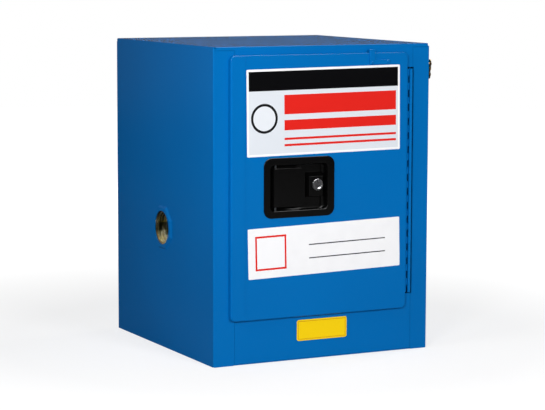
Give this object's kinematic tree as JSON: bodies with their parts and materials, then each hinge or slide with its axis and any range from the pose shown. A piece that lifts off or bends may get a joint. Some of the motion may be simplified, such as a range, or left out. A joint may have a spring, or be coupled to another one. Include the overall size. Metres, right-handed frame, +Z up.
{
  "type": "countertop safety cabinet",
  "caption": "Double-walled steel safety cabinet for a worktop, with one door hinged on the right, a recessed locking paddle handle, a sump, a lift-out shelf and a threaded vent in each side.",
  "frame": {"origin": "centre of the cabinet's flat base, on the surface it stands on", "axes": "+Z up, +X to the right seen from the front, the door faces -Y"},
  "size_m": [0.4447, 0.4445, 0.5588],
  "materials": {
    "blue_paint": "gloss powder coat",
    "black_enamel": "gloss black enamel",
    "chrome": "polished chrome plate",
    "zinc_steel": "bright zinc plate",
    "yellow_chromate": "yellow chromate on zinc-plated steel",
    "link_brass": "dull brass",
    "liner_plastic": "polyethylene sheet",
    "white_film": "printed vinyl film",
    "yellow_film": "printed vinyl film"
  },
  "bodies": {
    "cabinet": {"hinge_pin": "blue_paint", "left_side_panel": "blue_paint", "right_side_panel": "blue_paint", "top_panel": "blue_paint", "bottom_panel": "blue_paint", "back_panel": "blue_paint", "top_rail": "blue_paint", "sill_rail": "blue_paint", "hinge_post": "blue_paint", "inner_left_wall": "blue_paint", "inner_right_wall": "blue_paint", "inner_back_wall": "blue_paint", "inner_top_wall": "blue_paint", "sump_pan": "blue_paint", "hinge_frame_leaf": "blue_paint", "closing_springs": "zinc_steel", "shelf_clips": "zinc_steel", "strike_plate": "zinc_steel", "strike_screws": "zinc_steel", "left_flame_arrester": "zinc_steel", "right_flame_arrester": "zinc_steel", "left_vent_socket": "yellow_chromate", "right_vent_socket": "yellow_chromate", "left_vent_collar": "yellow_chromate", "right_vent_collar": "yellow_chromate", "fusible_link_anchor": "link_brass", "fusible_link_hook": "link_brass", "link_screws": "link_brass", "link_spacers": "link_brass", "left_liner": "liner_plastic", "right_liner": "liner_plastic", "back_liner": "liner_plastic", "top_liner": "liner_plastic", "sump_tray": "liner_plastic", "rail_plate": "yellow_film"},
    "door": {"door_skin": "blue_paint", "door_edge_strip": "blue_paint", "door_inner_pan": "blue_paint", "door_liner": "liner_plastic", "hinge_door_leaf": "blue_paint", "hold_open_catch": "blue_paint", "catch_rivets": "blue_paint", "handle_pan": "black_enamel", "handle_nuts": "zinc_steel", "lock_body": "chrome", "lock_nut": "zinc_steel", "bolt_guide": "zinc_steel", "bolt_spring": "zinc_steel", "upper_placard": "white_film", "lower_placard": "white_film", "paddle_pin": "zinc_steel", "paddle_spring": "zinc_steel"},
    "paddle": {"paddle": "black_enamel"},
    "latch_bolt": {"latch_bolt": "zinc_steel"},
    "lock": {"lock_plug": "chrome", "lock_cam": "zinc_steel"},
    "shelf": {"shelf": "blue_paint", "shelf_tray": "liner_plastic"}
  },
  "joints": [
    {"name": "door_hinge", "type": "hinge", "parent": "cabinet", "child": "door", "pos_m": [0.1748, -0.2209, 0.3104], "axis": [0, 0, 1], "range_deg": [0, 180], "stiffness_Nm_per_rad": 0.3, "springref_deg": -34.38},
    {"name": "paddle_pivot", "type": "hinge", "parent": "door", "child": "paddle", "pos_m": [-0.0969, -0.2174, 0.3108], "axis": [0, 0, -1], "range_deg": [0, 30], "stiffness_Nm_per_rad": 0.02, "springref_deg": -28.65},
    {"name": "latch_bolt_slide", "type": "slide", "parent": "door", "child": "latch_bolt", "axis": [-1, 0, 0], "range_m": [0, 0.0085]},
    {"name": "lock_turn", "type": "hinge", "parent": "door", "child": "lock", "pos_m": [-0.0139, -0.2189, 0.3128], "axis": [0, 1, 0], "range_deg": [0, 90]},
    {"name": "shelf_lift", "type": "slide", "parent": "cabinet", "child": "shelf", "axis": [0, 0, 1], "range_m": [0, 0.02]}
  ]
}
